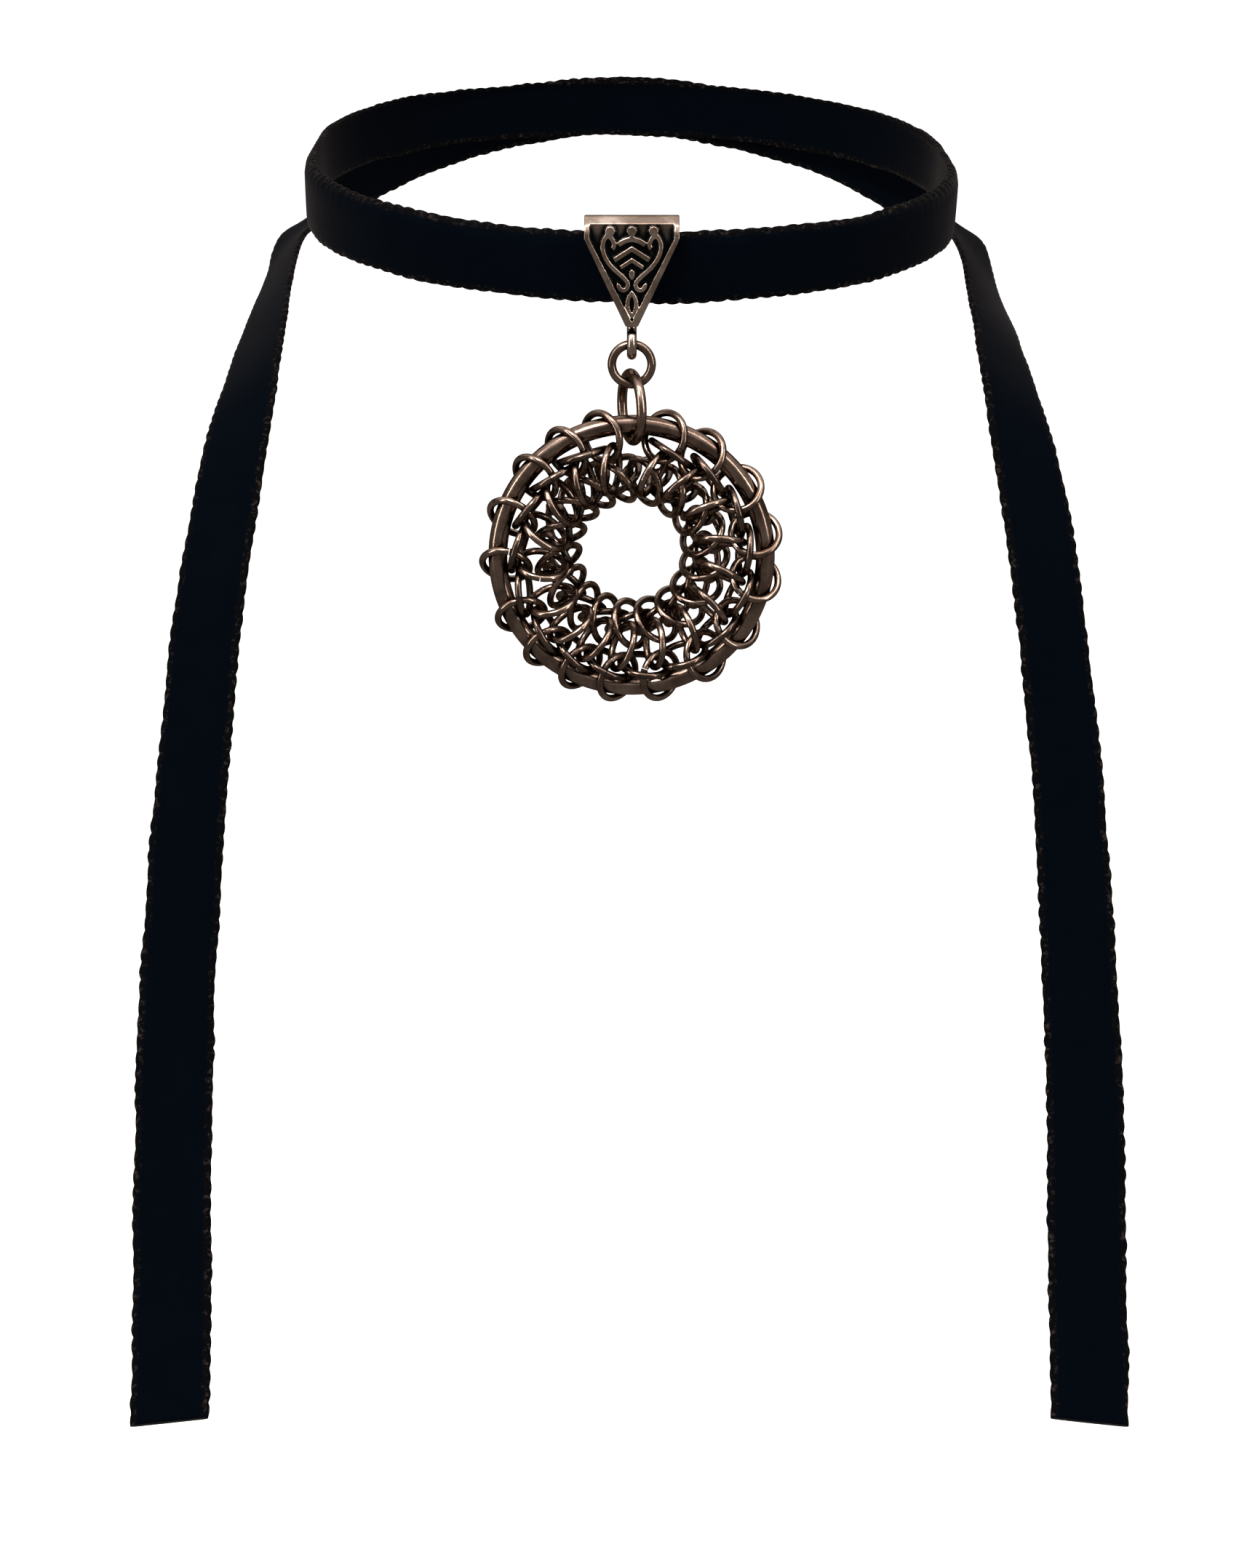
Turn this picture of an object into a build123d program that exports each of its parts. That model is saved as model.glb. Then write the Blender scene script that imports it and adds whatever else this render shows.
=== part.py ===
from build123d import *
import math
import os

import numpy as np

# Velvet ribbon choker with a cast bail, two plain rings and a ring wrapped in chainmail.
# Millimetres, +Z up, the wearer's front towards -Y, origin in the middle of the neck loop.

# Ribbon
ribbon_width = 9.5
ribbon_thickness = 1.0
loop_radius = 46.7              # plan radius of the neck loop, front and back
side_run = 13.0                 # straight stretch of the loop on each side of the neck
loop_rise = 7.6                 # degrees, the loop lies higher at the nape
loop_roll = 1.0                 # degrees, the loop lies higher on the left
tail_shift = -0.3               # both tails hang this much to the wearer's right

# Bail
bail_wall = 1.2
bail_slot = 3.1                 # inside depth, front to back
bail_top_width = 12.1
bail_tip_width = 1.6
bail_reach = 7.2                # from the ribbon's middle down to the tip
bail_bar = 0.69                 # width of the raised frame round the recess
recess_depth = 0.7
relief_height = 0.6
strap_width = 4.4
strap_wall = 0.9
ribbon_play = 0.4               # between the ribbon's upper edge and the roll
eye_outer = 4.2
eye_wire = 1.3

# Plain rings
jump_outer = 6.3
jump_wire = 1.15
hanger_outer = 10.0
hanger_wire = 1.35
hanger_yaw = 17.0               # degrees, its near side turns to the right
main_outer = 38.1
main_wire = 2.54
seat_gap = 0.1                  # between two rings that hang on each other
swing_limit = 35.0              # degrees that the mail leaves free round the hanger

# Chainmail
link_outer = 7.3
link_wire = 0.96
link_joint = 0.08               # width of the saw cut in each link
mail_gap = 0.14                 # aimed at between links
settle_rounds = 450
inner_evenness = 0.7            # how evenly the inner links share the turn, 0 to 1

# Where each wrap crosses the main ring, in degrees anticlockwise from the right
wrap_angles = [104.5, 119.6, 137.8, 160.0, 181.2, 208.0, 227.6, 244.6, 261.6,
               281.6, 305.7, 325.8, 350.1, 370.1, 392.3, 417.1, 433.1]

# Each kind of link where the weave starts: its middle as a share of the main ring's radius, then
# along the ring and away from the viewer as shares of the link's radius, then its axis in the
# outward, along and away directions
mail_pattern = {
    "wrap": dict(out=0.944, along=0.06, away=-0.05, axis=(0.15, 0.63, -0.76)),
    "radial": dict(out=0.673, along=0.04, away=-0.34, axis=(0.23, 0.91, 0.35)),
    "inner": dict(out=0.552, along=0.07, away=0.85, axis=(-0.42, 0.73, -0.55)),
    "outer_connector": dict(out=0.843, along=0.31, away=-0.05, axis=(-0.98, 0.12, -0.16)),
    "inner_connector": dict(out=0.566, along=0.61, away=1.70, axis=(0.73, 0.51, -0.45)),
}

# Plan of the neck loop
front_y = -loop_radius - side_run / 2
nape_centre_y = side_run / 2
loop_tilt = Rot(loop_rise, loop_roll, 0)
front_z = (loop_tilt * Pos(0, front_y, 0)).position.Z
tail_steps = 3                  # sections between one station and the next

# Each tail from the nape to its cut end. The first rows lie behind the neck, given by their turn
# past the nape, their stand-off from the loop and their drop below it. The last ones are places
# from the loop's front middle, and face is how far the velvet side turns outwards there.
tail_behind = [
    dict(turn=-3, off=0.0, drop=0.0, thick=0.6),
    dict(turn=9, off=0.5, drop=0.3, thick=1.0),
    dict(turn=22, off=1.6, drop=1.5, thick=1.0),
    dict(turn=44, off=3.4, drop=5.0, thick=1.0),
    dict(turn=61, off=5.0, drop=8.6, thick=1.0),
]
tail_front = [
    dict(x=50.8, y=74.0, z=-1.7, face=27),
    dict(x=52.5, y=60.0, z=-5.5, face=14),
    dict(x=52.3, y=40.0, z=-9.8, face=10),
    dict(x=51.9, y=20.0, z=-15.5, face=12),
    dict(x=52.4, y=6.0, z=-23.0, face=14),
    dict(x=53.4, y=-1.5, z=-31.0, face=12),
    dict(x=54.4, y=-8.5, z=-40.0, face=11),
    dict(x=55.4, y=-14.0, z=-50.0, face=10),
    dict(x=56.4, y=-24.0, z=-67.5, face=0),
    dict(x=56.7, y=-33.5, z=-82.0, face=-8),
    dict(x=56.3, y=-44.0, z=-95.0, face=-7),
    dict(x=55.1, y=-56.5, z=-108.0, face=-4),
    dict(x=53.3, y=-73.0, z=-123.0, face=0),
]

# Heights down the middle line, from the ribbon's middle at the front
slot_radius = bail_slot / 2
roll_radius = slot_radius + bail_wall
roll_z = ribbon_width / 2 + ribbon_play - math.sqrt(slot_radius ** 2 - (ribbon_thickness * 0.75) ** 2)
bail_top = roll_z + roll_radius
bail_back_y = -0.05             # the slot's middle, which clears both of the ribbon's edges
plate_front_y = bail_back_y - slot_radius - bail_wall
eye_radius = (eye_outer - eye_wire) / 2
jump_radius = (jump_outer - jump_wire) / 2
hanger_radius = (hanger_outer - hanger_wire) / 2
main_radius = (main_outer - main_wire) / 2
link_radius = (link_outer - link_wire) / 2
hang_y = -1.0                   # the line that everything below the bail hangs on
eye_z = -bail_reach - eye_outer / 2 - 0.25
jump_top_z = eye_z - eye_radius + (eye_wire + jump_wire) / 2 + seat_gap
jump_z = jump_top_z - jump_radius
hanger_top_z = jump_z - jump_radius + (jump_wire + hanger_wire) / 2 + seat_gap
hanger_z = hanger_top_z - hanger_radius
main_top_z = hanger_z - hanger_radius + (hanger_wire + main_wire) / 2 + seat_gap
main_z = main_top_z - main_radius
front_place = Pos(0, front_y, front_z)


def loop_slice(grow):
    """The neck loop's plan outline, its radius grown by grow."""
    return SlotCenterToCenter(side_run, 2 * (loop_radius + grow), rotation=90)


def ribbon_loop():
    band = loop_slice(ribbon_thickness / 2) - loop_slice(-ribbon_thickness / 2)
    return loop_tilt * Pos(0, 0, -ribbon_width / 2) * extrude(band, ribbon_width)


def tail_stations(side):
    """Middle, outward direction and thickness of each station, from the nape to the cut end."""
    stations = []
    for row in tail_behind:
        turn = math.radians(90 + row["turn"])
        reach = loop_radius + row["off"]
        place = Vector(side * -reach * math.cos(turn), nape_centre_y + reach * math.sin(turn), 0)
        level = (loop_tilt * Pos(place.X, place.Y, 0)).position.Z - row["drop"]
        outward = Vector(side * -math.cos(turn), math.sin(turn), 0)
        stations.append((Vector(place.X, place.Y, level), outward, row["thick"]))
    for row in tail_front:
        face = math.radians(row["face"])
        outward = Vector(side * math.sin(face), -math.cos(face), 0)
        place = Vector(side * row["x"] + tail_shift, front_y + row["y"], front_z + row["z"])
        stations.append((place, outward, 1.0))
    return stations


def ribbon_tail(side):
    """A strip through the stations, with evenly turned sections between them."""
    stations = tail_stations(side)
    route = Spline(*[place for place, outward, thick in stations])
    params = [route.param_at_point(place) for place, outward, thick in stations]
    outwards = np.array([tuple(outward) for place, outward, thick in stations])
    thicks = [thick for place, outward, thick in stations]
    sections = []
    for start, end in zip(params, params[1:]):
        for param in np.linspace(start, end, tail_steps, endpoint=end == params[-1]):
            along = route.tangent_at(param)
            outward = Vector(*[np.interp(param, params, outwards[:, axis]) for axis in range(3)])
            normal = (outward - along * outward.dot(along)).normalized()
            plane = Plane(origin=route.position_at(param), x_dir=along.cross(normal), z_dir=along)
            thick = float(np.interp(param, params, thicks))
            sections.append(plane * Rectangle(ribbon_width, ribbon_thickness * thick))
    return loft(sections, ruled=True)


def ribbon():
    return ribbon_loop() + ribbon_tail(-1) + ribbon_tail(1)


def bail_outline(inset, top, bottom):
    """The front plate's tapering outline between two heights, inset from its edges."""
    slope = (bail_top_width - bail_tip_width) / 2 / (roll_z + bail_reach)

    def half(z):
        return bail_tip_width / 2 + slope * (min(z, roll_z) + bail_reach) - inset

    corners = [(-half(top), top), (half(top), top), (half(bottom), bottom), (-half(bottom), bottom)]
    return Plane.XZ * make_face(Polyline(*corners, close=True))


def bail_shell():
    """The wall that wraps the ribbon: front plate, roll, back strap and the joint below."""
    back = bail_back_y + slot_radius
    front = bail_back_y - slot_radius
    below = -ribbon_width / 2 - ribbon_play
    outer = make_face(Polyline(
        (plate_front_y, roll_z), (plate_front_y, -bail_reach), (front + 1.4, -bail_reach),
        (back + strap_wall, below + 0.4), (back + bail_wall, roll_z), close=True))
    inner = make_face(Polyline(
        (front, roll_z), (front, below - 0.9), (front + 0.9, below - 1.0), (back, below),
        (back, roll_z), close=True))
    roll = Pos(bail_back_y, roll_z) * (Circle(roll_radius) - Circle(slot_radius))
    upper = Pos(bail_back_y, roll_z + roll_radius / 2) * Rectangle(3 * roll_radius, roll_radius)
    profile = Plane.YZ * ((outer - inner) + (roll & upper))
    return extrude(profile, bail_top_width / 2, both=True)


def bail_trim():
    """The front view that the shell is cut to: the taper in front and a narrow strap behind."""
    tall = bail_top - roll_z + 1
    plate = extrude(bail_outline(0, roll_z, -bail_reach - 0.5), 2 * roll_radius)
    roll = Pos(0, 0, roll_z + tall / 2) * Box(bail_top_width, 6 * roll_radius, tall)
    yoke = extrude(bail_outline(0, roll_z, roll_z - 0.8), -2 * roll_radius)
    strap_top = strap_width / 2
    strap = extrude(Plane.XZ * make_face(Polyline(
        (-strap_top, roll_z), (strap_top, roll_z), (bail_tip_width / 2, -bail_reach),
        (-bail_tip_width / 2, -bail_reach), close=True)), -2 * roll_radius)
    return plate + roll + yoke + strap


def stroke(points, width, smooth=True):
    """A raised line of the cast relief."""
    path = Spline(*points) if smooth else Polyline(*points)
    return trace(path, width)


def vesica(width, height):
    """A pointed oval."""
    lift = (height ** 2 - width ** 2) / (4 * width)
    bow = lift + width / 2
    return (Pos(lift, 0) * Circle(bow)) & (Pos(-lift, 0) * Circle(bow))


def relief():
    """Scroll vines, arched bar, two chevrons, an oval dot, a leaf and three domes."""
    vine = [(-2.48, 2.55), (-2.50, 3.75), (-3.03, 4.15), (-3.60, 3.40), (-3.62, 2.15), (-3.00, 0.85),
            (-1.85, -0.35), (-0.85, -1.25), (-0.48, -2.05), (-1.00, -2.62), (-1.62, -2.25),
            (-1.60, -1.80)]
    motifs = stroke(vine, 0.6) + stroke([(-x, z) for x, z in vine], 0.6)
    motifs += stroke([(-1.72, 3.05), (0, 3.72), (1.72, 3.05)], 0.68)
    motifs += stroke([(-2.25, 1.15), (0, 2.55), (2.25, 1.15)], 0.66, False)
    motifs += stroke([(-1.45, 0.2), (0, 1.15), (1.45, 0.2)], 0.56, False)
    motifs += Pos(0, -0.65) * Ellipse(0.38, 0.66)
    motifs += Pos(0, -4.4) * (vesica(1.7, 3.6) - vesica(0.55, 2.1))
    for x in (-2.75, 0, 2.75):
        motifs += Pos(x, 4.75) * Circle(0.62)
    return motifs


def bail():
    shell = bail_shell() & bail_trim()
    recess_top = roll_z + 1.75
    recess_tip = -bail_reach + 0.6
    half_top = bail_top_width / 2 - bail_bar
    recess_face = Plane.XZ.offset(-plate_front_y) * make_face(Polyline(
        (-half_top, recess_top), (half_top, recess_top), (half_top, roll_z), (0, recess_tip),
        (-half_top, roll_z), close=True))
    recess = extrude(recess_face, recess_depth, both=True)
    floor = Plane.XZ.offset(-plate_front_y - recess_depth - 0.1)
    raised = extrude(floor * relief(), relief_height + 0.1) & recess
    neck_top = -bail_reach + 0.5
    neck = Pos(0, hang_y, (neck_top + eye_z + eye_radius) / 2) * Cylinder(
        eye_wire / 2, neck_top - eye_z - eye_radius)
    eye = Pos(0, hang_y, eye_z) * Rot(0, 90, 0) * Torus(eye_radius, eye_wire / 2)
    return front_place * (shell - recess + raised + neck + eye)


def plain_ring(outer, wire, height, yaw):
    """A round wire ring that stands upright, facing the front at no yaw."""
    ring = Rot(90, 0, 0) * Torus((outer - wire) / 2, wire / 2)
    return front_place * Pos(0, hang_y, height) * Rot(0, 0, yaw) * ring


def ring_axes(degrees):
    """Outward, along and away directions at a place on the main ring."""
    turn = math.radians(degrees)
    return (np.array([math.cos(turn), 0, math.sin(turn)]),
            np.array([-math.sin(turn), 0, math.cos(turn)]), np.array([0, 1.0, 0]))


def mail_start():
    """Each link's name, middle and axis before the weave settles, from the main ring's middle."""
    count = len(wrap_angles)
    inner = [inner_evenness * (90 + (k + 0.5) * 360 / count) + (1 - inner_evenness) * wrap
             for k, wrap in enumerate(wrap_angles)]
    places = [("wrap", wrap) for wrap in wrap_angles]
    places += [("radial", (a + b) / 2) for a, b in zip(wrap_angles, inner)]
    places += [("inner", b) for b in inner]
    places += [("outer_connector", (a + b) / 2) for a, b in zip(wrap_angles, wrap_angles[1:])]
    places += [("inner_connector", (a + b) / 2) for a, b in zip(inner, inner[1:] + [inner[0] + 360])]
    links = []
    for kind, degrees in places:
        row = mail_pattern[kind]
        axes = ring_axes(degrees)
        middle = (axes[0] * row["out"] * main_radius + axes[1] * row["along"] * link_radius
                  + axes[2] * row["away"] * link_radius)
        axis = sum(direction * share for direction, share in zip(axes, row["axis"]))
        links.append((kind, middle, axis / np.linalg.norm(axis)))
    return links


def hanger_poses():
    """The hanger link as the pendant swings under it, seen from the pendant."""
    poses = []
    for swing in (-swing_limit, -swing_limit / 2, 0, swing_limit / 2, swing_limit):
        pose = (Pos(0, 0, main_radius) * Rot(swing, 0, 0)
                * Pos(0, 0, hanger_z - main_top_z) * Rot(0, 0, 90 + hanger_yaw) * Rot(90, 0, 0))
        plane = Plane(pose)
        poses.append((np.array(tuple(plane.origin)), np.array(tuple(plane.z_dir))))
    return poses


def unit(rows):
    return rows / np.maximum(np.linalg.norm(rows, axis=-1, keepdims=True), 1e-9)


def on_circle(points, middle, axis, radius):
    """The nearest points of a wire's centre circle."""
    flat = points - middle
    flat = flat - (flat * axis).sum(-1, keepdims=True) * axis
    return middle + unit(flat) * radius


def on_main(points):
    """The nearest points of the main ring's centre circle."""
    return unit(points * np.array([1, 0, 1.0])) * main_radius


def push_apart(first, second, need):
    """How far each contact that is too close has to part, and which way."""
    gap = first - second
    distance = np.linalg.norm(gap, axis=-1)
    short = np.maximum(0, need[:, None] - distance)
    share = (short > 0) / np.maximum((short > 0).sum(1, keepdims=True), 1)
    return unit(gap), short * share


def settle(middles, axes, radii, wires, movable):
    """Part the links evenly until each clears its neighbours, while each keeps near its start."""
    home, home_axes = middles.copy(), axes.copy()
    spin = 0.6 * radii ** 2
    starts = np.arange(8) * math.pi / 4
    apart = np.linalg.norm(middles[:, None] - middles[None], axis=-1)
    one, two = np.where(np.triu(apart < radii[:, None] + radii[None] + 2.2 * link_wire, 1))
    some = movable[one] + movable[two] > 0
    one, two = one[some], two[some]
    everyone = np.arange(len(middles))

    for step in range(settle_rounds):
        grow = min(1, (step + 1) / (0.6 * settle_rounds))
        pull = 0.03 * max(0, 1 - step / (0.8 * settle_rounds))
        sideways = unit(np.cross(axes, np.where(np.abs(axes[:, [0]]) < 0.9, [1.0, 0, 0], [0, 1.0, 0])))
        upright = np.cross(axes, sideways)
        rims = middles[:, None] + radii[:, None, None] * (
            np.cos(starts)[:, None] * sideways[:, None] + np.sin(starts)[:, None] * upright[:, None])
        place, axis, radius = middles[:, None], axes[:, None], radii[:, None, None]
        move, turn, touching = np.zeros_like(middles), np.zeros_like(middles), np.zeros(len(middles))

        near = rims[one]
        for _ in range(3):
            other = on_circle(near, place[two], axis[two], radius[two])
            near = on_circle(other, place[one], axis[one], radius[one])
        other = on_circle(near, place[two], axis[two], radius[two])
        away, short = push_apart(near, other, ((wires[one] + wires[two]) / 2 + mail_gap) * grow)
        lever_one = np.cross(near - place[one], away)
        lever_two = np.cross(other - place[two], away)
        yield_one = movable[one][:, None] * (1 + (lever_one ** 2).sum(-1) / spin[one][:, None])
        yield_two = movable[two][:, None] * (1 + (lever_two ** 2).sum(-1) / spin[two][:, None])
        push = (short / (yield_one + yield_two))[..., None]
        np.add.at(move, one, (away * push).sum(1))
        np.add.at(move, two, -(away * push).sum(1))
        np.add.at(turn, one, (lever_one * push).sum(1))
        np.add.at(turn, two, -(lever_two * push).sum(1))
        np.add.at(touching, one, (short > 0).any(1))
        np.add.at(touching, two, (short > 0).any(1))

        near = rims[everyone]
        for _ in range(3):
            near = on_circle(on_main(near), place, axis, radius)
        away, short = push_apart(near, on_main(near), ((wires + main_wire) / 2 + mail_gap) * grow)
        lever = np.cross(near - place, away)
        push = (short / (1 + (lever ** 2).sum(-1) / spin[:, None]))[..., None]
        move += (away * push).sum(1)
        turn += (lever * push).sum(1)
        touching += (short > 0).any(1)

        ease = (0.9 * movable / np.maximum(1, np.sqrt(touching)))[:, None]
        middles = middles + move * ease + (home - middles) * pull * movable[:, None]
        axes = unit(axes + np.cross(turn * ease / spin[:, None], axes)
                    + (home_axes - axes) * pull * movable[:, None])
    return middles, axes


def settled_links():
    links = mail_start()
    hangers = hanger_poses()
    middles = np.array([link[1] for link in links] + [pose[0] for pose in hangers])
    axes = np.array([link[2] for link in links] + [pose[1] for pose in hangers])
    radii = np.array([link_radius] * len(links) + [hanger_radius] * len(hangers))
    wires = np.array([link_wire] * len(links) + [hanger_wire] * len(hangers))
    movable = np.array([1.0] * len(links) + [0.0] * len(hangers))
    middles, axes = settle(middles, axes, radii, wires, movable)
    return [(link[0], middle, axis) for link, middle, axis in zip(links, middles, axes)]


def mail_link(middle, axis, number):
    """One link as a nearly closed torus, its saw cut turned a little further on each one."""
    outward = np.cross(axis, [0, 1.0, 0])
    plane = Plane(origin=tuple(middle), x_dir=tuple(unit(outward)), z_dir=tuple(axis))
    opening = math.degrees(link_joint / link_radius)
    ring = Torus(link_radius, link_wire / 2, major_angle=360 - opening)
    return front_place * Pos(0, hang_y, main_z) * plane.location * Rot(0, 0, 40 + 25 * (number % 3)) * ring


os.makedirs("parts", exist_ok=True)
nodes = {
    "ribbon": ribbon(),
    "bail": bail(),
    "jump_ring": plain_ring(jump_outer, jump_wire, jump_z, 0),
    "hanger_link": plain_ring(hanger_outer, hanger_wire, hanger_z, 90 + hanger_yaw),
    "main_ring": plain_ring(main_outer, main_wire, main_z, 0),
}
fields = {"inner": [], "outer_connector": [], "inner_connector": []}
counts = {}
for kind, middle, axis in settled_links():
    counts[kind] = counts.get(kind, 0) + 1
    solid = mail_link(middle, axis, counts[kind])
    if kind in fields:
        fields[kind].append(solid)
    else:
        nodes[f"{kind}_link_{counts[kind]:02d}"] = solid
nodes["inner_links"] = Compound(children=fields["inner"])
nodes["outer_connectors"] = Compound(children=fields["outer_connector"])
nodes["inner_connectors"] = Compound(children=fields["inner_connector"])
for name, shape in nodes.items():
    export_step(shape, f"parts/{name}.step")
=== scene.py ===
import math

import bmesh
import bpy
import numpy as np
from mathutils import Matrix, Vector


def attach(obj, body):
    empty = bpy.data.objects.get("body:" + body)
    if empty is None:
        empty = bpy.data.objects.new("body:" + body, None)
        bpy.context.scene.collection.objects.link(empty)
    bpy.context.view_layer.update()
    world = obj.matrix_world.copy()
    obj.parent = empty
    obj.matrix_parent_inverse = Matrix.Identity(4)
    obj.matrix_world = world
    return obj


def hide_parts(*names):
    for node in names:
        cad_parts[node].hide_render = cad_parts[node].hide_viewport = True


# Velvet ribbon choker with a cast bail and a ring wrapped in chainmail. +Z up, front -Y.
# Sizes are in millimetres, except the light's and the floor's, which are in metres.

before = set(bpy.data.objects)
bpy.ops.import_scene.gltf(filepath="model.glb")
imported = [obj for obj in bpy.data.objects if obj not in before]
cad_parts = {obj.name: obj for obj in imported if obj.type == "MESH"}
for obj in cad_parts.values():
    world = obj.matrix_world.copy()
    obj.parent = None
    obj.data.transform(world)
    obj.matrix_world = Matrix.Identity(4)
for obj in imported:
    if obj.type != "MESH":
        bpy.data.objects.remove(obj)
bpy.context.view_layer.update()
random = np.random.default_rng(7)
MM = 0.001

# Ribbon, the same sizes as the solid one
ribbon_width = 9.5
ribbon_thickness = 1.0
loop_radius = 46.7
side_run = 13.0
loop_rise = 7.6
loop_roll = 1.0
tail_shift = -0.3
front_y = -loop_radius - side_run / 2
front_z = front_y * math.sin(math.radians(loop_rise))
nape_centre_y = side_run / 2

# Each tail from the nape to its cut end, seen on the wearer's right (-X). Behind: degrees round
# the nape, distance off the loop and below it, and share of the full thickness.
nape_thick = 0.6
tail_behind = [
    dict(turn=-3, off=0.0, drop=0.0, thick=nape_thick),
    dict(turn=9, off=0.5, drop=0.3, thick=1.0),
    dict(turn=22, off=1.6, drop=1.5, thick=1.0),
    dict(turn=44, off=3.4, drop=5.0, thick=1.0),
    dict(turn=61, off=5.0, drop=8.6, thick=1.0),
]

# In front: place from the loop's front middle, and degrees that the cloth faces outward
tail_front = [
    dict(x=50.8, y=74.0, z=-1.7, face=27),
    dict(x=52.5, y=60.0, z=-5.5, face=14),
    dict(x=52.3, y=40.0, z=-9.8, face=10),
    dict(x=51.9, y=20.0, z=-15.5, face=12),
    dict(x=52.4, y=6.0, z=-23.0, face=14),
    dict(x=53.4, y=-1.5, z=-31.0, face=12),
    dict(x=54.4, y=-8.5, z=-40.0, face=11),
    dict(x=55.4, y=-14.0, z=-50.0, face=10),
    dict(x=56.4, y=-24.0, z=-67.5, face=0),
    dict(x=56.7, y=-33.5, z=-82.0, face=-8),
    dict(x=56.3, y=-44.0, z=-95.0, face=-7),
    dict(x=55.1, y=-56.5, z=-108.0, face=-4),
    dict(x=53.3, y=-73.0, z=-123.0, face=0),
]

# Depth of the bail's front face and of its recess's floor, from the ribbon's middle
plate_face_y = -2.8
plate_floor_y = -2.1
plate_margin = 0.2

# Rounding of the bail's edges
bail_cell = 0.08                # length of one mesh cell
bail_smoothing = 8              # rounds
bail_faces_kept = 0.8

# Finer form of the cloth
ribbon_step = 0.45              # length of one mesh cell
picot_pitch = 2.1               # from one bump of the selvage to the next
picot_height = 0.32
picot_base = 0.6                # share of a bump's height that lies inside the plain edge
picot_power = 0.8               # below 1, a bump is blunter than a sine
picot_shift = 0.18              # uneven places, as a share of the pitch
picot_spread = 0.35             # uneven heights, as a share of the height
edge_drift = 0.16               # slow waver of each edge
surface_drift = 0.12            # slow waver of the face
back_pile = 0.8                 # height of the back's pile, as a share of the front's
edge_roll = 1.0                 # how far the choker's upper edge rolls back
roll_start = 0.55               # share of the way from the middle to the edge
roll_pull = 0.45                # how far the edge comes in for each millimetre of roll
uv_length = 100                 # length of ribbon that fills the texture plane once

# Distance between the turns of each waver along the cloth
shift_pitch = 5.0
size_pitch = 3.1
edge_pitch = 9.0
face_pitch = 14.0

# Ribbon's section from its middle to an edge, as shares of the width and the thickness
section = [
    dict(across=0.0, pile=0.50),
    dict(across=0.25, pile=0.50),
    dict(across=0.5, pile=0.50),
    dict(across=0.75, pile=0.50),
    dict(across=0.88, pile=0.46),
    dict(across=0.95, pile=0.38),
    dict(across=0.985, pile=0.24),
    dict(across=1.0, pile=0.0),
]

# Colours of the cloth, dark and light. The rim's colours are the woven edge's brown flecks with
# painted sheen over them
pile_dark, pile_light = (0.0001, 0.0005, 0.0012), (0.0003, 0.0009, 0.0019)
selvage_and_sheen_dark, selvage_and_sheen_light = (0.0009, 0.0009, 0.0011), (0.011, 0.008, 0.007)
sheen_tint = (0.80, 0.66, 0.62)

# Colours of the metal, where it is dark and where it is worn, and of its recesses and glints
wire_bare, wire_worn = (0.105, 0.070, 0.054), (0.23, 0.165, 0.13)
cast_bare, cast_worn = (0.185, 0.135, 0.107), (0.41, 0.32, 0.265)
recess_black = (0.005, 0.006, 0.007)
metal_tint = (0.45, 0.40, 0.37)
# Painted shade: the links behind the ring get the wire's colour darkened by this share
painted_shade_behind = 0.55             # of the wire's colour, on the links behind
black, white = (0, 0, 0), (1, 1, 1)

# Camera, placed from the front of the loop
photo_height_px = 2156
focal_px = 3209
sensor_mm = 36.0
camera_place = Vector((-0.55, front_y - 304, front_z + 36.1)) * MM
camera_pitch = 19.26            # degrees below the horizon

# Floor and light, in metres
pale = (0.95, 0.95, 0.95)
floor_height = -0.45
floor_reach = 80
dim_horizon = (0.16, 0.155, 0.145)
world_strength = 1.9
warm = (1, 0.95, 0.9)
light_aim = (0, -0.055, -0.03)
lights = [
    dict(name="key", place=(-0.25, -0.5, 0.55), size=(0.20, 0.12), power=8, colour=(1, 0.93, 0.86)),
    dict(name="strip", place=(0.0, -0.28, 0.50), size=(0.9, 0.02), power=3, colour=warm),
    dict(name="left", place=(-0.55, -0.35, 0.12), size=(0.04, 0.60), power=2.5, colour=warm),
    dict(name="fill", place=(0.5, -0.45, 0.2), size=(0.04, 0.60), power=2.5, colour=warm),
]


def unit(rows):
    return rows / np.maximum(np.linalg.norm(rows, axis=-1, keepdims=True), 1e-12)


def loop_tilt():
    turn_x = Matrix.Rotation(math.radians(loop_rise), 3, "X")
    turn_y = Matrix.Rotation(math.radians(loop_roll), 3, "Y")
    return np.array(turn_x @ turn_y)


def loop_route():
    """Middles and outward directions once round the neck, from the front's left end."""
    places, outwards = [], []
    arc_cells = round(math.pi * loop_radius / ribbon_step)
    run_cells = round(side_run / ribbon_step)
    for middle_y, start in ((-side_run / 2, 180), (side_run / 2, 0)):
        for turn in np.radians(start + 180 * np.arange(arc_cells) / arc_cells):
            outward = np.array([math.cos(turn), math.sin(turn), 0])
            places.append(np.array([0, middle_y, 0]) + outward * loop_radius)
            outwards.append(outward)
        across = -math.copysign(1, middle_y)
        for share in np.arange(run_cells) / run_cells:
            places.append(np.array([across * loop_radius, middle_y * (1 - 2 * share), 0]))
            outwards.append(np.array([across, 0, 0]))
    tilt = loop_tilt()
    return np.array(places) @ tilt.T, np.array(outwards) @ tilt.T


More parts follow.
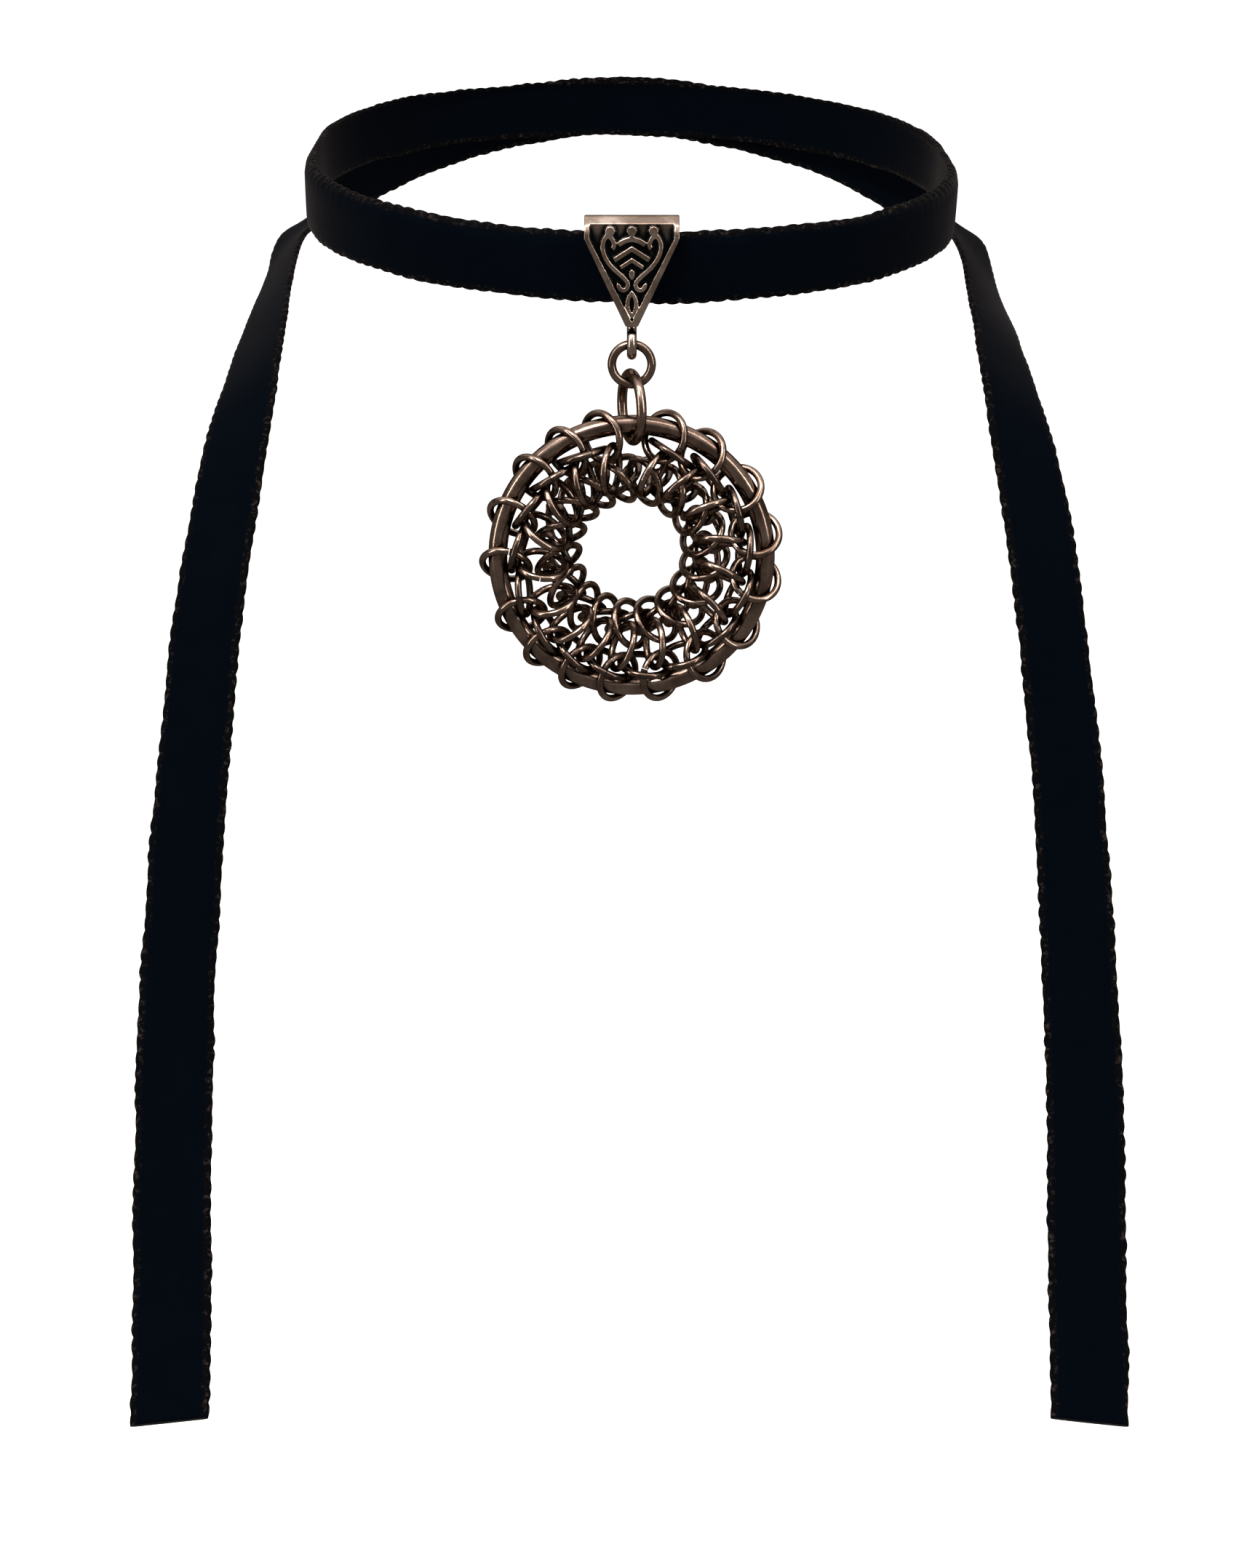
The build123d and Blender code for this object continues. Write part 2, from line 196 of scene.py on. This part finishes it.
def natural_spline(knots, values, at):
    """A natural cubic through the values at the knots, read at other places."""
    gaps = np.diff(knots)
    slopes = np.diff(values, axis=0) / gaps[:, None]
    size = len(knots)
    matrix = np.eye(size)
    right = np.zeros((size, values.shape[1]))
    for k in range(1, size - 1):
        matrix[k, k - 1:k + 2] = gaps[k - 1], 2 * (gaps[k - 1] + gaps[k]), gaps[k]
        right[k] = 6 * (slopes[k] - slopes[k - 1])
    bends = np.linalg.solve(matrix, right)
    cell = np.clip(np.searchsorted(knots, at, side="right") - 1, 0, size - 2)
    gap = gaps[cell][:, None]
    left = ((knots[cell + 1] - at)[:, None]) / gap
    share = 1 - left
    straight = left * values[cell] + share * values[cell + 1]
    bow = (left ** 3 - left) * bends[cell] + (share ** 3 - share) * bends[cell + 1]
    return straight + bow * gap ** 2 / 6


def tail_route(side):
    """Middles, outward directions and thickness shares of one tail at every mesh cell."""
    tilt = loop_tilt()
    places, outwards, thicks = [], [], []
    for row in tail_behind:
        turn = math.radians(90 + row["turn"])
        reach = loop_radius + row["off"]
        flat = np.array([side * -reach * math.cos(turn), nape_centre_y + reach * math.sin(turn), 0])
        level = (tilt @ flat)[2] - row["drop"]
        places.append([flat[0], flat[1], level])
        outwards.append([side * -math.cos(turn), math.sin(turn), 0])
        thicks.append([row["thick"]])
    for row in tail_front:
        face = math.radians(row["face"])
        places.append([side * row["x"] + tail_shift, front_y + row["y"], front_z + row["z"]])
        outwards.append([side * math.sin(face), -math.cos(face), 0])
        thicks.append([1.0])
    places, outwards = np.array(places), np.array(outwards)
    chords = np.linalg.norm(np.diff(places, axis=0), axis=1)
    knots = np.concatenate([[0], np.cumsum(chords)])
    at = np.linspace(0, knots[-1], round(knots[-1] / ribbon_step))
    return (natural_spline(knots, places, at), natural_spline(knots, outwards, at),
            natural_spline(knots, np.array(thicks), at)[:, 0].clip(nape_thick, 1.0))


def waver(length, pitch, closed):
    """Smooth random swing between -1 and 1 along a length of evenly spaced cells."""
    knots = max(4, round(length * ribbon_step / pitch))
    heights = random.uniform(-1, 1, knots)
    if closed:
        heights = np.append(heights, heights[0])
    else:
        heights = np.append(heights, random.uniform(-1, 1))
    at = np.arange(length) * knots / length
    low = np.floor(at).astype(int)
    share = at - low
    share = share * share * (3 - 2 * share)
    return heights[low] * (1 - share) + heights[low + 1] * share


def selvage(length, closed):
    """How far one edge stands out along the ribbon: uneven bumps on a slow waver."""
    bumps = max(1, round(length * ribbon_step / picot_pitch))
    phase = np.arange(length) * bumps / length + picot_shift * waver(length, shift_pitch, closed)
    bump = np.abs(np.sin(math.pi * phase)) ** picot_power
    size = 1 - picot_spread + picot_spread * waver(length, size_pitch, closed)
    drift = edge_drift * waver(length, edge_pitch, closed)
    return picot_height * (bump * size - picot_base) + drift


def section_outline():
    """Places across and heights of the pile once round the section: front first, then back."""
    half_across = np.array([row["across"] for row in section])
    half_pile = np.array([row["pile"] for row in section])
    across = np.concatenate([-half_across[:0:-1], half_across])
    height = np.concatenate([half_pile[:0:-1], half_pile])
    return (np.concatenate([across, across[-2:0:-1]]),
            np.concatenate([height, -back_pile * height[-2:0:-1]]))


def strip(mesh, places, outwards, thicks, closed, roll):
    """Adds one length of ribbon to a bmesh: a closed section carried along the route."""
    count = len(places)
    along = np.roll(places, -1, 0) - np.roll(places, 1, 0)
    if not closed:
        along[0], along[-1] = places[1] - places[0], places[-1] - places[-2]
    along = unit(along)
    normals = unit(outwards - along * (outwards * along).sum(1, keepdims=True))
    rises = np.cross(normals, along)
    upper, lower = selvage(count, closed), selvage(count, closed)
    face = surface_drift * waver(count, face_pitch, closed)
    across, height = section_outline()
    half = ribbon_width / 2
    rolled = ((across - roll_start) / (1 - roll_start)).clip(0, 1) ** 2 * roll
    grid = []
    for k in range(count):
        reach = np.where(across > 0, across * (half + upper[k]), across * (half + lower[k]))
        lift = height * ribbon_thickness * thicks[k] + face[k] * (1 - across ** 2) * (thicks[k] > 0.9)
        reach, lift = reach - roll_pull * rolled, lift - rolled
        points = places[k] + rises[k] * reach[:, None] + normals[k] * lift[:, None]
        grid.append([mesh.verts.new(point * MM) for point in points])
    uv = mesh.loops.layers.uv.verify()
    ring = len(across)
    for k in range(count if closed else count - 1):
        after = grid[(k + 1) % count]
        for j in range(ring):
            near = (j + 1) % ring
            made = mesh.faces.new((grid[k][j], grid[k][near], after[near], after[j]))
            made.smooth = True
            for loop, (row, column) in zip(made.loops, ((k, j), (k, near), (k + 1, near), (k + 1, j))):
                loop[uv].uv = (row * ribbon_step / uv_length, 0.5 + across[column] / 2)
    if not closed:
        mesh.faces.new(grid[0][::-1])
        mesh.faces.new(grid[-1])


def in_scene(name, data):
    """An object with that mesh, light or camera, in the scene."""
    made = bpy.data.objects.new(name, data)
    bpy.context.scene.collection.objects.link(made)
    return made


def mesh_object(name, mesh, material):
    """An object made from a bmesh, which is used up."""
    data = bpy.data.meshes.new(name)
    mesh.to_mesh(data)
    mesh.free()
    data.materials.append(material)
    return in_scene(name, data)


class Nodes:
    """The nodes of a material or a world, with short calls to add and link them."""

    def __init__(self, owner, shader="Principled BSDF"):
        self.owner = owner
        owner.use_nodes = True
        self.tree = owner.node_tree
        self.shader = self.tree.nodes[shader]
        self.coords = self.add("TexCoord").outputs

    def set(self, socket, value):
        if isinstance(value, bpy.types.NodeSocket):
            self.tree.links.new(value, socket)
        elif socket.type == "RGBA":
            socket.default_value = (*value, 1)
        else:
            socket.default_value = value

    def add(self, kind, inputs=(), **settings):
        node = self.tree.nodes.new("ShaderNode" + kind)
        for key, value in settings.items():
            setattr(node, key, value)
        for socket, value in dict(inputs).items():
            self.set(node.inputs[socket], value)
        return node

    def noise(self, scale, detail, rough):
        return self.add("TexNoise", {"Vector": self.coords["Object"], "Scale": scale,
                                     "Detail": detail, "Roughness": rough}).outputs["Fac"]

    def ramp(self, factor, *stops):
        node = self.add("ValToRGB", {"Fac": factor})
        for element, (place, colour) in zip(node.color_ramp.elements, stops):
            element.position = place
            element.color = (*colour, 1)
        return node.outputs["Color"]

    def mix(self, factor, one, two, blend="MIX"):
        inputs = {0: factor, 6: one, 7: two}
        return self.add("Mix", inputs, data_type="RGBA", blend_type=blend).outputs[2]

    def calc(self, operation, *values):
        return self.add("Math", dict(enumerate(values)), operation=operation).outputs[0]

    def bump(self, height, strength, distance):
        node = self.add("Bump", {"Height": height, "Strength": strength, "Distance": distance})
        return node.outputs["Normal"]

    def to_shader(self, **values):
        for key, value in values.items():
            self.set(self.shader.inputs[key.replace("_", " ")], value)


def new_material(name):
    return Nodes(bpy.data.materials.new(name))


def velvet():
    """Blue-black pile, with a dull rim of brown flecks where the edge is woven, and painted sheen in
    that rim.
    """
    nodes = new_material("velvet")
    across = nodes.add("SeparateXYZ", {"Vector": nodes.coords["UV"]}).outputs["Y"]
    off_middle = nodes.calc("ABSOLUTE", nodes.calc("SUBTRACT", across, 0.5))
    pile = nodes.noise(scale=2600, detail=2, rough=0.6)
    crush = nodes.noise(scale=260, detail=4, rough=0.6)
    # Painted sheen: the band along each edge turns brown, as pile does at a glancing angle, over the
    # woven edge's flecks
    rim = nodes.ramp(nodes.calc("MULTIPLY", off_middle, 2), (0.78, black), (0.92, white))
    specks = nodes.noise(scale=1500, detail=2, rough=0.7)
    flecks = nodes.ramp(specks, (0.56, black), (0.66, white))
    blue = nodes.mix(crush, pile_dark, pile_light)
    # The woven edge's flecks and the painted sheen, in one colour
    brown = nodes.mix(flecks, selvage_and_sheen_dark, selvage_and_sheen_light)
    height = nodes.calc("ADD", pile, nodes.calc("MULTIPLY", crush, 0.6))
    nodes.to_shader(Base_Color=nodes.mix(rim, blue, brown), Roughness=0.95,
                    Normal=nodes.bump(height, strength=0.5, distance=0.00012))
    nodes.to_shader(Specular_IOR_Level=0.01, Sheen_Weight=0.034, Sheen_Roughness=0.3,
                    Sheen_Tint=sheen_tint)
    return nodes.owner


def antique_metal(nodes, bare, worn, grain):
    """Dark brown patina over warm metal, paler where it is worn and black in the corners."""
    patches = nodes.noise(scale=300, detail=4, rough=0.6)
    fine = nodes.noise(scale=3200, detail=3, rough=0.6)
    occluded = nodes.add("AmbientOcclusion", {"Distance": 0.0012}, samples=8).outputs["AO"]
    wear = nodes.ramp(patches, (0.40, black), (0.68, white))
    patina = nodes.ramp(occluded, (0.30, (0.08, 0.07, 0.08)), (0.85, white))
    colour = nodes.mix(1.0, nodes.mix(wear, bare, worn), patina, "MULTIPLY")
    rough = nodes.ramp(fine, (0.3, (0.15,) * 3), (0.7, (0.23,) * 3))
    pitted = nodes.bump(nodes.calc("ADD", fine, patches), strength=grain, distance=0.00005)
    nodes.to_shader(Base_Color=colour, Roughness=rough, Metallic=1.0, Normal=pitted,
                    Specular_Tint=metal_tint)
    return colour, occluded


def antique_wire(name, shade):
    nodes = new_material(name)
    bare = [part * shade for part in wire_bare]
    worn = [part * shade for part in wire_worn]
    antique_metal(nodes, bare, worn, grain=0.05)
    return nodes.owner


def antique_cast():
    """Black in the recess of the front plate, bare on its frame and relief."""
    nodes = new_material("antique_cast")
    colour, occluded = antique_metal(nodes, cast_bare, cast_worn, grain=0.10)
    depth = nodes.add("SeparateXYZ", {"Vector": nodes.coords["Object"]}).outputs["Y"]
    face, floor = (front_y + plate_face_y) * MM, (front_y + plate_floor_y) * MM
    share = nodes.add("MapRange", {"Value": depth, "From Min": face, "From Max": floor}).outputs[0]
    low = nodes.ramp(share, (0.20, black), (0.45, white))
    inside = nodes.ramp(occluded, (0.88, white), (1.0, black))
    in_plate = nodes.calc("LESS_THAN", depth, floor + plate_margin * MM)
    mask = nodes.calc("MULTIPLY", nodes.calc("MULTIPLY", low, inside), in_plate)
    nodes.to_shader(Base_Color=nodes.mix(mask, colour, recess_black))
    return nodes.owner


def build_bail():
    """The casting with its edges rounded."""
    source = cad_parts["bail"]
    data = source.data.copy()
    data.transform(source.matrix_world)
    piece = in_scene("cast_bail", data)
    remesh = piece.modifiers.new("remesh", "REMESH")
    remesh.mode = "VOXEL"
    remesh.voxel_size = bail_cell * MM
    smooth = piece.modifiers.new("smooth", "SMOOTH")
    smooth.factor = 0.5
    smooth.iterations = bail_smoothing
    thin = piece.modifiers.new("thin", "DECIMATE")
    thin.ratio = bail_faces_kept
    depsgraph = bpy.context.evaluated_depsgraph_get()
    rounded = bpy.data.meshes.new_from_object(piece.evaluated_get(depsgraph))
    piece.modifiers.clear()
    piece.data = rounded
    rounded.polygons.foreach_set("use_smooth", [True] * len(rounded.polygons))
    rounded.materials.clear()
    rounded.materials.append(antique_cast())
    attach(piece, "choker")
    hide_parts("bail")


def build_ribbon():
    """The closed loop and both tails as one piece of cloth."""
    mesh = bmesh.new()
    places, outwards = loop_route()
    strip(mesh, places, outwards, np.ones(len(places)), True, edge_roll)
    for side in (-1, 1):
        places, outwards, thicks = tail_route(side)
        strip(mesh, places, outwards, thicks, False, 0)
    bmesh.ops.recalc_face_normals(mesh, faces=mesh.faces)
    ribbon = mesh_object("velvet_ribbon", mesh, velvet())
    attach(ribbon, "choker")
    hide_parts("ribbon")


def paint_wire():
    """Antique metal on every ring and link, with painted shade on the links behind: a darker copy of
    the wire's colour.
    """
    front = antique_wire("antique_wire", 1.0)
    # Painted shade: a darker copy of the wire for the links behind
    behind = antique_wire("antique_wire_painted_shade", painted_shade_behind)
    for name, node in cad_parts.items():
        if name not in ("ribbon", "bail"):
            node.data.materials.clear()
            node.data.materials.append(behind if "connectors" in name else front)


def build_stage():
    mesh = bmesh.new()
    bmesh.ops.create_grid(mesh, x_segments=1, y_segments=1, size=floor_reach)
    nodes = new_material("floor")
    nodes.to_shader(Base_Color=pale, Roughness=0.95)
    floor = mesh_object("floor", mesh, nodes.owner)
    floor.location = (0, 0, floor_height)
    floor.visible_glossy = False


def area_light(name, place, size, power, colour):
    data = bpy.data.lights.new(name, "AREA")
    data.shape = "RECTANGLE"
    data.size, data.size_y = size
    data.energy = power
    data.color = colour
    light = in_scene(name, data)
    light.location = place
    toward = Vector(light_aim) - Vector(place)
    light.rotation_euler = toward.to_track_quat("-Z", "Y").to_euler()


def build_light():
    """A bright ceiling over a dim horizon in front of a pale backdrop, and narrow softboxes."""
    nodes = Nodes(bpy.data.worlds.new("studio"), "Background")
    up = nodes.add("SeparateXYZ", {"Vector": nodes.coords["Generated"]}).outputs["Z"]
    room = nodes.ramp(up, (0.30, dim_horizon), (0.75, white))
    seen = nodes.add("LightPath").outputs["Is Camera Ray"]
    nodes.to_shader(Color=nodes.mix(seen, room, pale), Strength=world_strength)
    bpy.context.scene.world = nodes.owner
    for light in lights:
        area_light(**light)


def build_camera():
    data = bpy.data.cameras.new("camera")
    data.sensor_fit = "VERTICAL"
    data.sensor_height = sensor_mm
    data.lens = focal_px / photo_height_px * sensor_mm
    data.clip_start = 0.01
    camera = in_scene("camera", data)
    camera.location = camera_place
    camera.rotation_euler = (math.radians(90 - camera_pitch), 0, 0)
    bpy.context.scene.camera = camera


build_ribbon()
build_bail()
paint_wire()
build_stage()
build_light()
build_camera()
bpy.context.scene.view_settings.view_transform = "Standard"
